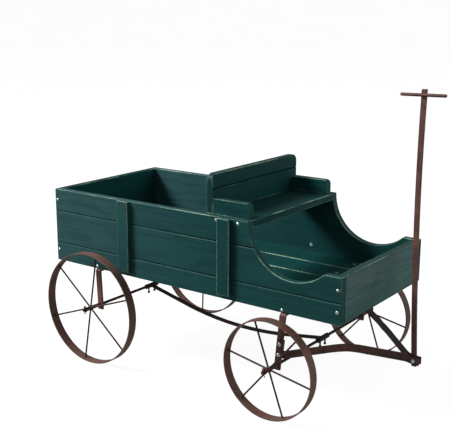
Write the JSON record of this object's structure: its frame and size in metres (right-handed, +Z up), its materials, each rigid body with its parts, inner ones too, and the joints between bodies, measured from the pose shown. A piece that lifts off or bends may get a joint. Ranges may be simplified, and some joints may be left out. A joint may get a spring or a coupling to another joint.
{
  "type": "decorative garden wagon",
  "caption": "Small wooden wagon planter with a scooped front, bench seat, spoked steel wheels on bent-strap legs, an arched drawbar and an upright pull handle.",
  "frame": {"origin": "on the ground, below the middle of the wagon's overall box", "axes": "+X forward to the pull handle, +Y to the wagon's left, +Z up"},
  "size_m": [0.6774, 0.364, 0.5022],
  "materials": {
    "stained_wood": "satin green stain with worn edges",
    "rust_steel": "matt rust-brown coating",
    "zinc_steel": "bright zinc"
  },
  "bodies": {
    "chassis": {"axle_bracket_front": "rust_steel", "axle_bracket_rear": "rust_steel", "axle_front": "rust_steel", "axle_rear": "rust_steel", "batten_front_left": "stained_wood", "batten_front_right": "stained_wood", "batten_rear_left": "stained_wood", "batten_rear_right": "stained_wood", "batten_screws": "zinc_steel", "bracket_screws": "zinc_steel", "cleat_screws": "zinc_steel", "corner_screws": "zinc_steel", "cross_cleat_front": "stained_wood", "cross_cleat_rear": "stained_wood", "drawbar_bolts": "zinc_steel", "drawbar_left": "rust_steel", "drawbar_nuts": "zinc_steel", "drawbar_right": "rust_steel", "floor_board_1": "stained_wood", "floor_board_2": "stained_wood", "floor_board_3": "stained_wood", "floor_board_4": "stained_wood", "floor_screws": "zinc_steel", "front_panel": "stained_wood", "pivot_bolt": "zinc_steel", "pivot_nut": "zinc_steel", "reach_bar": "rust_steel", "reach_set_screws": "rust_steel", "reach_sleeve_front": "rust_steel", "reach_sleeve_rear": "rust_steel", "rear_panel": "stained_wood", "seat_arm_left": "stained_wood", "seat_arm_right": "stained_wood", "seat_back": "stained_wood", "seat_back_screws": "zinc_steel", "seat_board": "stained_wood", "seat_side_screws": "zinc_steel", "side_panel_left": "stained_wood", "side_panel_right": "stained_wood", "split_pins_front": "rust_steel", "split_pins_rear": "rust_steel", "washers_front": "rust_steel", "washers_rear": "rust_steel"},
    "wheel_rear_left": {"wheel_rim_rear_left": "rust_steel", "wheel_spokes_rear_left": "rust_steel", "wheel_hub_rear_left": "rust_steel"},
    "wheel_rear_right": {"wheel_rim_rear_right": "rust_steel", "wheel_spokes_rear_right": "rust_steel", "wheel_hub_rear_right": "rust_steel"},
    "wheel_front_left": {"wheel_rim_front_left": "rust_steel", "wheel_spokes_front_left": "rust_steel", "wheel_hub_front_left": "rust_steel"},
    "wheel_front_right": {"wheel_rim_front_right": "rust_steel", "wheel_spokes_front_right": "rust_steel", "wheel_hub_front_right": "rust_steel"},
    "handle": {"handle_bar": "rust_steel", "handle_grip": "rust_steel"}
  },
  "joints": [
    {"name": "rear_left_wheel_spin", "type": "hinge", "parent": "chassis", "child": "wheel_rear_left", "pos_m": [-0.2322, 0.15825, 0.1], "axis": [0, 1, 0], "continuous": true},
    {"name": "rear_right_wheel_spin", "type": "hinge", "parent": "chassis", "child": "wheel_rear_right", "pos_m": [-0.2322, -0.15825, 0.1], "axis": [0, 1, 0], "continuous": true},
    {"name": "front_left_wheel_spin", "type": "hinge", "parent": "chassis", "child": "wheel_front_left", "pos_m": [0.1448, 0.15825, 0.08], "axis": [0, 1, 0], "continuous": true},
    {"name": "front_right_wheel_spin", "type": "hinge", "parent": "chassis", "child": "wheel_front_right", "pos_m": [0.1448, -0.15825, 0.08], "axis": [0, 1, 0], "continuous": true},
    {"name": "handle_tilt", "type": "hinge", "parent": "chassis", "child": "handle", "pos_m": [0.3091, 0, 0.0812], "axis": [0, 1, 0], "range_deg": [-15, 94]}
  ]
}
